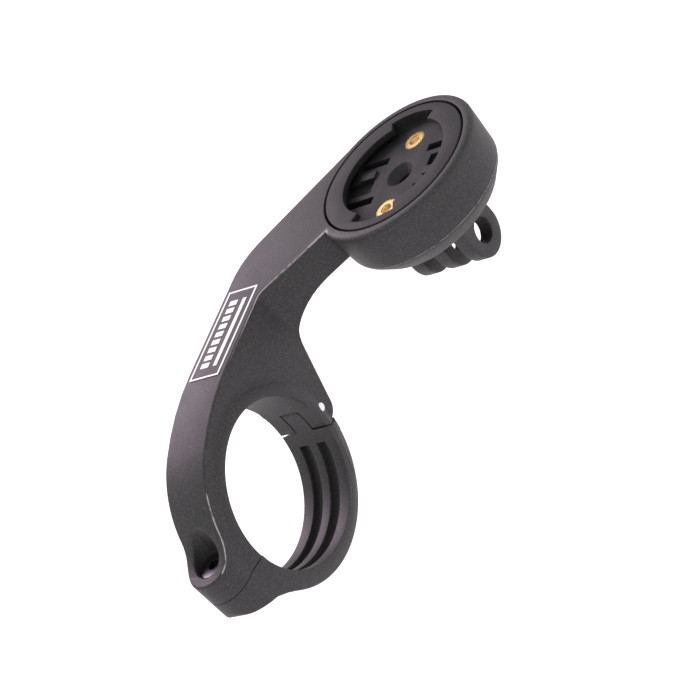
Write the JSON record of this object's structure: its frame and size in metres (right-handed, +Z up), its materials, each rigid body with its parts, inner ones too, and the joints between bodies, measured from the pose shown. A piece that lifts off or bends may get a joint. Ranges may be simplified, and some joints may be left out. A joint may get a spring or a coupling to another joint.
{
  "type": "out-front bicycle computer mount",
  "caption": "Hinged handlebar clamp with a bent arm, a round quarter-turn socket and a finger adapter under it.",
  "frame": {"origin": "centre of the handlebar bore, on the clamp's middle plane", "axes": "+X forward over the front wheel, +Y along the handlebar, +Z up"},
  "size_m": [0.0954, 0.0512, 0.0416],
  "materials": {
    "nylon": "matte",
    "socket_plastic": "satin",
    "pin_steel": "satin",
    "black_steel": "satin",
    "plated_steel": "satin",
    "brass": "satin",
    "white_print": "matte"
  },
  "bodies": {
    "arm": {"arm_body": "nylon", "hinge_pin": "pin_steel", "quarter_turn_socket": "socket_plastic", "brass_inserts": "brass", "adapter_screws": "plated_steel", "camera_adapter": "nylon", "label_print": "white_print"},
    "band": {"clamp_band": "nylon", "band_insert": "brass"},
    "bolt_carrier": {"bolt_washer": "plated_steel"},
    "bolt": {"clamp_bolt": "black_steel"}
  },
  "joints": [
    {"name": "band_swing", "type": "hinge", "parent": "arm", "child": "band", "pos_m": [0.0183, 0, -0.0007], "axis": [0, -1, 0], "range_deg": [0, 70]},
    {"name": "bolt_out", "type": "slide", "parent": "arm", "child": "bolt_carrier", "axis": [0, 0, 1], "range_m": [0, 0.008]},
    {"name": "bolt_turn", "type": "hinge", "parent": "bolt_carrier", "child": "bolt", "pos_m": [-0.0204, 0, 0.002], "axis": [0, 0, 1], "range_deg": [0, 5760]}
  ],
  "couplings": [
    {"joint": "bolt_turn", "follows": "bolt_out", "rad_per_m": 12566}
  ]
}
